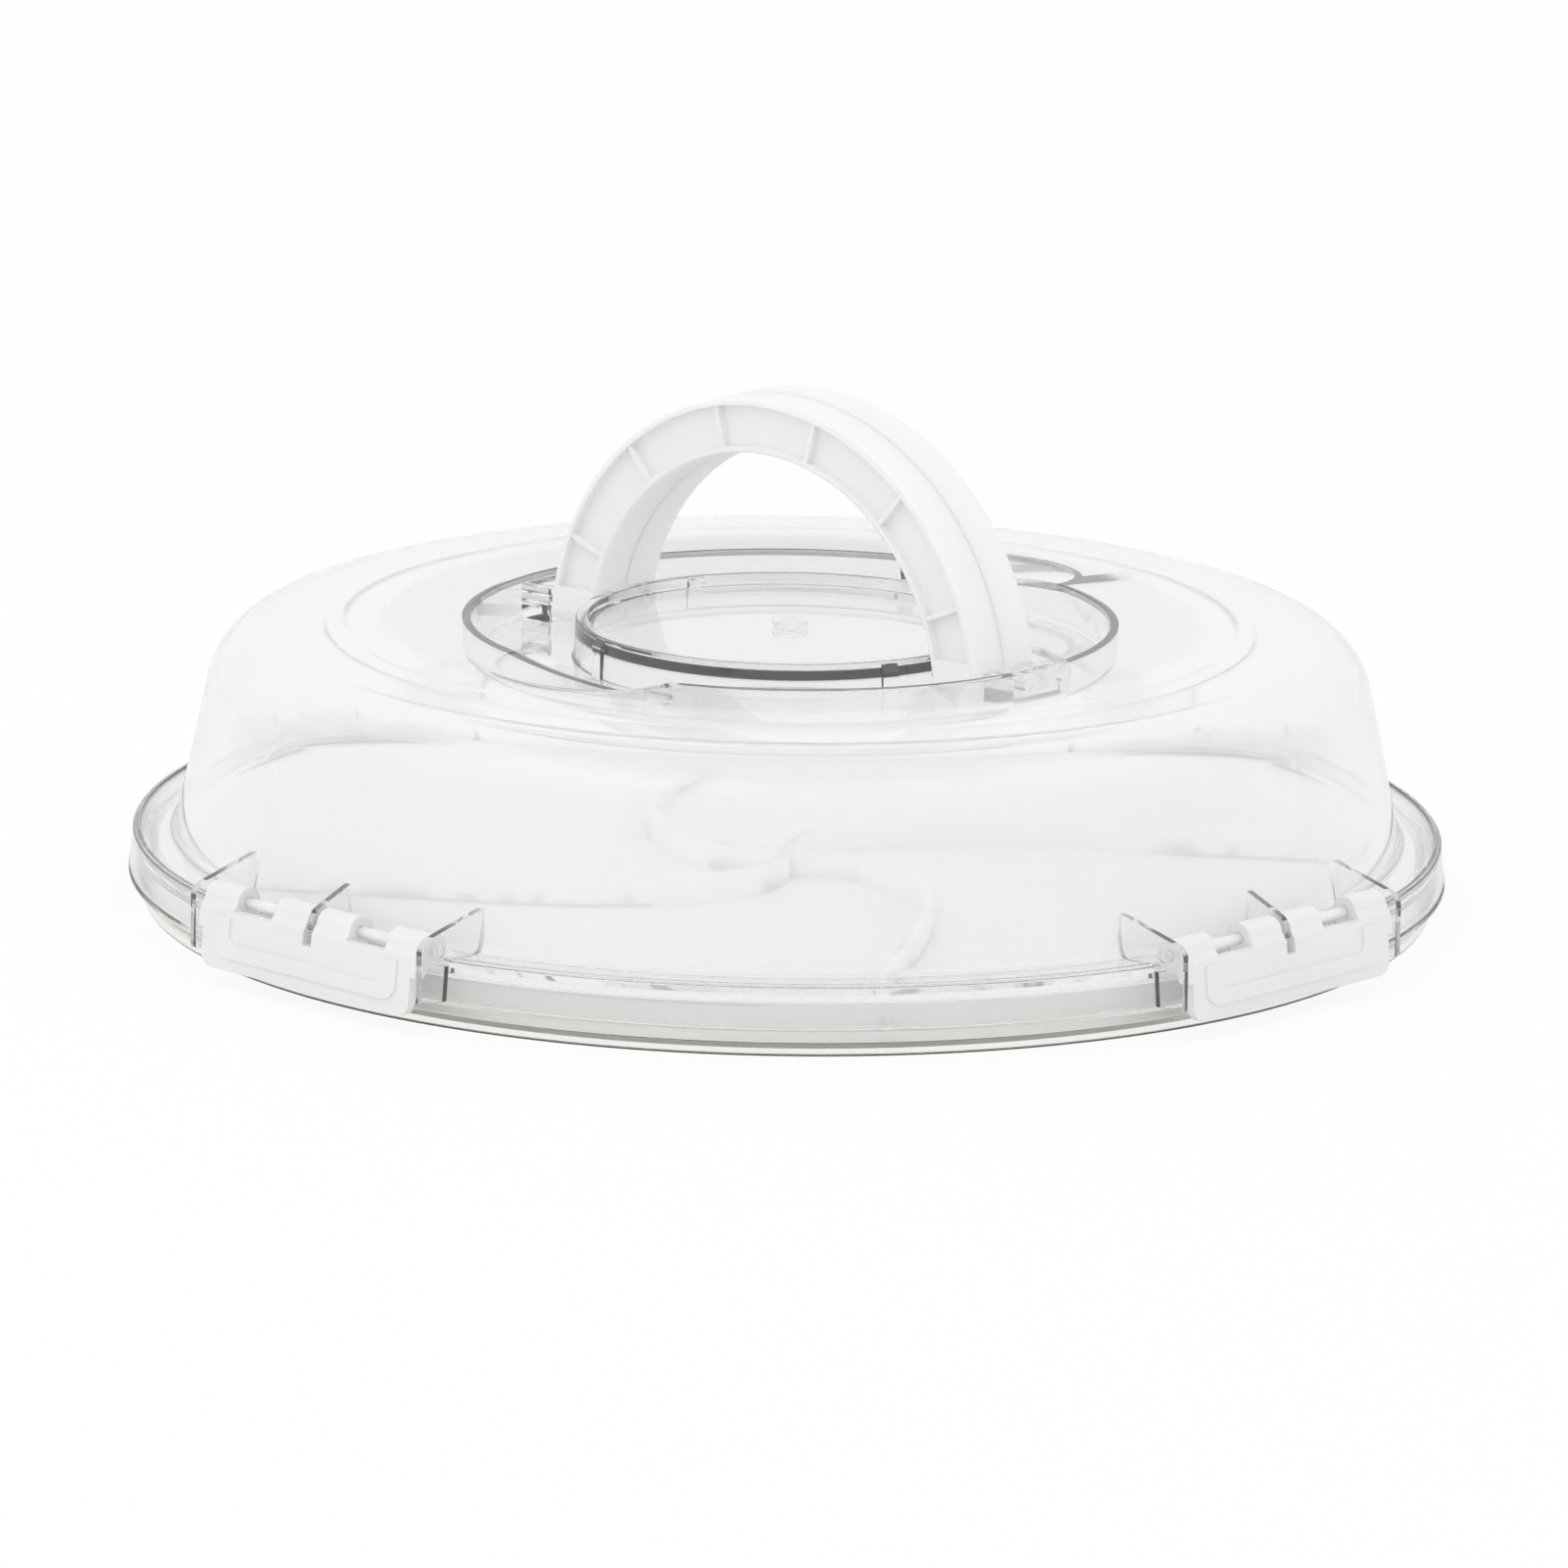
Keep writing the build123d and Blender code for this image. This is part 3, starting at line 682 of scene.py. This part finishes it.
def background(nodes, colour):
    shader = nodes.new("ShaderNodeBackground")
    shader.inputs["Color"].default_value = colour
    shader.inputs["Strength"].default_value = 1.0
    return shader


def larger(nodes, links, first, second):
    """The larger of two values."""
    largest = nodes.new("ShaderNodeMath")
    largest.operation = "MAXIMUM"
    links.new(first, largest.inputs[0])
    links.new(second, largest.inputs[1])
    return largest.outputs[0]


def studio_floor():
    """Pale matt floor that looks white but keeps the piece's shadow."""
    bpy.ops.object.select_all(action="DESELECT")
    bpy.ops.mesh.primitive_circle_add(vertices=96, radius=6, fill_type="NGON", location=(0, 0, 0))
    floor = bpy.context.object
    floor.name = "studio_floor"
    material, nodes, links = new_material("pale_floor")
    output = nodes.new("ShaderNodeOutputMaterial")
    matt = nodes.new("ShaderNodeBsdfDiffuse")
    matt.inputs["Color"].default_value = grey(0.9)
    glow = nodes.new("ShaderNodeEmission")
    glow.inputs["Color"].default_value = grey(1)
    glow.inputs["Strength"].default_value = 1.0
    rays = nodes.new("ShaderNodeLightPath").outputs
    share = nodes.new("ShaderNodeMath")
    share.operation = "MULTIPLY"
    share.inputs[1].default_value = 0.88
    links.new(larger(nodes, links, rays["Is Camera Ray"], rays["Is Transmission Ray"]), share.inputs[0])
    surface = mixed(nodes, links, share.outputs[0], matt, glow)
    links.new(surface.outputs[0], output.inputs["Surface"])
    floor.data.materials.append(material)


def studio_world():
    """White behind the piece, darker overhead for rays that clear plastic bends."""
    world = bpy.data.worlds.new("studio")
    bpy.context.scene.world = world
    world.use_nodes = True
    nodes, links = world.node_tree.nodes, world.node_tree.links
    nodes.clear()
    output = nodes.new("ShaderNodeOutputWorld")
    room = background(nodes, grey(1))
    place = nodes.new("ShaderNodeTexCoord")
    parts = nodes.new("ShaderNodeSeparateXYZ")
    links.new(place.outputs["Generated"], parts.inputs[0])
    ramp = nodes.new("ShaderNodeValToRGB")
    ramp.color_ramp.elements[0].position = 0.82
    ramp.color_ramp.elements[0].color = grey(0.95)
    ramp.color_ramp.elements[1].position = 0.95
    ramp.color_ramp.elements[1].color = grey(0.06)
    links.new(parts.outputs["Z"], ramp.inputs["Fac"])
    links.new(ramp.outputs["Color"], room.inputs["Color"])
    rays = nodes.new("ShaderNodeLightPath").outputs
    bent = larger(nodes, links, rays["Is Glossy Ray"], rays["Is Transmission Ray"])
    around = mixed(nodes, links, bent, background(nodes, grey(1)), room)
    surface = mixed(nodes, links, rays["Is Camera Ray"], around, background(nodes, grey(0.99)))
    links.new(surface.outputs[0], output.inputs["Surface"])


def soft_lamp(name, place, size, power):
    """A square softbox that faces the middle of the piece."""
    light = bpy.data.lights.new(name, "AREA")
    light.shape = "SQUARE"
    light.size = size
    light.energy = power
    lamp = bpy.data.objects.new(name, light)
    bpy.context.scene.collection.objects.link(lamp)
    lamp.location = place
    lamp.visible_glossy = False
    facing = Vector((0, 0, 0.06)) - Vector(place)
    lamp.rotation_euler = facing.to_track_quat("-Z", "Y").to_euler()


def photo_camera():
    """Camera at the photograph's place, with the piece's small turn undone."""
    data = bpy.data.cameras.new("photo_camera")
    data.sensor_width = SENSOR_MM
    data.lens = SENSOR_MM * FOCAL_PIXELS / IMAGE_SIZE
    data.clip_end = 50
    camera = bpy.data.objects.new("photo_camera", data)
    bpy.context.scene.collection.objects.link(camera)
    turn = Matrix.Rotation(math.radians(-OBJECT_TURN), 4, "Z")
    place = Matrix.Translation(Vector((CAMERA_SIDE, -CAMERA_BACK, CAMERA_UP)) * MM)
    tilt = Matrix.Rotation(math.radians(90 - CAMERA_FALL), 4, "X")
    roll = Matrix.Rotation(math.radians(CAMERA_ROLL), 4, "Z")
    camera.matrix_world = turn @ place @ tilt @ roll
    bpy.context.scene.camera = camera


dress_pieces()
studio_floor()
studio_world()
soft_lamp("key_softbox", (-0.7, -0.5, 1.4), 0.9, 2.2)
soft_lamp("fill_softbox", (1.3, -0.6, 0.9), 0.9, 0.4)
photo_camera()
bpy.context.scene.view_settings.view_transform = "Standard"
